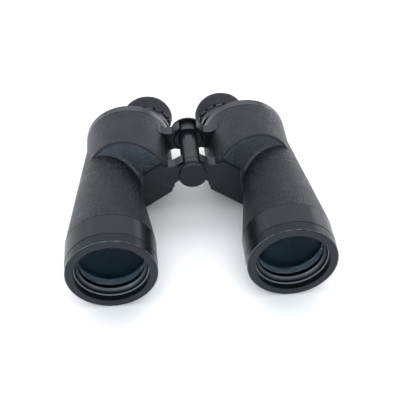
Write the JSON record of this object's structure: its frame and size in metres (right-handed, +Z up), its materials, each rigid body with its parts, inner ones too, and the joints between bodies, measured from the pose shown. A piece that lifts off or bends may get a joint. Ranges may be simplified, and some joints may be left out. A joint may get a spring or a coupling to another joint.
{
  "type": "binoculars",
  "caption": "Porro-prism binoculars with individual-focus eyepieces: wide tapered objective tubes, offset prism housings, a bridging hinge and flared rubber eyecups",
  "frame": {"origin": "bottom centre of the bounding box, lying down with the hinge on top", "axes": "+X to the right seen from the front, +Y backwards to the eyepieces (the objectives look along -Y), +Z up; left and right in names are as seen from the front"},
  "size_m": [0.2078, 0.194, 0.0727],
  "materials": {
    "grained_casting": "matte",
    "smooth_casting": "satin",
    "satin_black": "satin",
    "inner_black": "matte",
    "coated_glass": "polished",
    "prism_glass": "polished",
    "seal_rubber": "matte",
    "eyecup_rubber": "matte",
    "spring_steel": "satin",
    "black_steel": "satin",
    "washer_plastic": "matte",
    "cap_plastic": "satin"
  },
  "bodies": {
    "left_barrel": {"left_body": "grained_casting", "left_objective_hood": "satin_black", "left_objective_cell": "satin_black", "left_lens_mount": "inner_black", "left_lens_retainer": "inner_black", "left_crown_lens": "coated_glass", "left_flint_lens": "coated_glass", "left_objective_seal": "seal_rubber", "left_tube_baffle": "inner_black", "left_prism_shelf": "inner_black", "left_field_prism": "prism_glass", "left_eye_prism": "prism_glass", "left_prism_straps": "spring_steel", "left_cover_gasket": "seal_rubber", "left_rear_cover": "smooth_casting", "left_cover_screws": "black_steel", "left_eyepiece_base": "satin_black", "hinge_axle": "black_steel", "hinge_sleeve": "smooth_casting", "hinge_washers": "washer_plastic", "eye_distance_dial": "satin_black", "hinge_nut": "black_steel"},
    "right_barrel": {"right_body": "grained_casting", "right_objective_hood": "satin_black", "right_objective_cell": "satin_black", "right_lens_mount": "inner_black", "right_lens_retainer": "inner_black", "right_crown_lens": "coated_glass", "right_flint_lens": "coated_glass", "right_objective_seal": "seal_rubber", "right_tube_baffle": "inner_black", "right_prism_shelf": "inner_black", "right_field_prism": "prism_glass", "right_eye_prism": "prism_glass", "right_prism_straps": "spring_steel", "right_cover_gasket": "seal_rubber", "right_rear_cover": "smooth_casting", "right_cover_screws": "black_steel", "right_eyepiece_base": "satin_black"},
    "left_eyepiece": {"left_eyepiece_tube": "inner_black", "left_field_lens": "coated_glass", "left_eye_lens": "coated_glass", "left_eyepiece_spacer": "inner_black", "left_eye_lens_retainer": "inner_black"},
    "left_focus": {"left_focus_ring": "satin_black", "left_eyecup_holder": "satin_black", "left_eyecup": "eyecup_rubber"},
    "right_eyepiece": {"right_eyepiece_tube": "inner_black", "right_field_lens": "coated_glass", "right_eye_lens": "coated_glass", "right_eyepiece_spacer": "inner_black", "right_eye_lens_retainer": "inner_black"},
    "right_focus": {"right_focus_ring": "satin_black", "right_eyecup_holder": "satin_black", "right_eyecup": "eyecup_rubber"},
    "tripod_cover": {"tripod_cap": "cap_plastic"}
  },
  "joints": [
    {"name": "eye_distance_hinge", "type": "hinge", "parent": "left_barrel", "child": "right_barrel", "pos_m": [0, 0.01061, 0.05225], "axis": [0, 1, 0], "range_deg": [-46, 30]},
    {"name": "left_focus_travel", "type": "slide", "parent": "left_barrel", "child": "left_eyepiece", "axis": [0, 1, 0], "range_m": [-0.003, 0.003]},
    {"name": "left_focus_turn", "type": "hinge", "parent": "left_eyepiece", "child": "left_focus", "pos_m": [-0.0329, 0.08409, 0.03765], "axis": [0, 1, 0], "range_deg": [-150, 150]},
    {"name": "right_focus_travel", "type": "slide", "parent": "right_barrel", "child": "right_eyepiece", "axis": [0, 1, 0], "range_m": [-0.003, 0.003]},
    {"name": "right_focus_turn", "type": "hinge", "parent": "right_eyepiece", "child": "right_focus", "pos_m": [0.0329, 0.08409, 0.03765], "axis": [0, 1, 0], "range_deg": [-150, 150]},
    {"name": "tripod_cap_off", "type": "slide", "parent": "left_barrel", "child": "tripod_cover", "axis": [0, -1, 0], "range_m": [0, 0.06]}
  ],
  "couplings": [
    {"joint": "left_focus_travel", "follows": "left_focus_turn", "m_per_rad": 0.001145},
    {"joint": "right_focus_travel", "follows": "right_focus_turn", "m_per_rad": 0.001145}
  ]
}
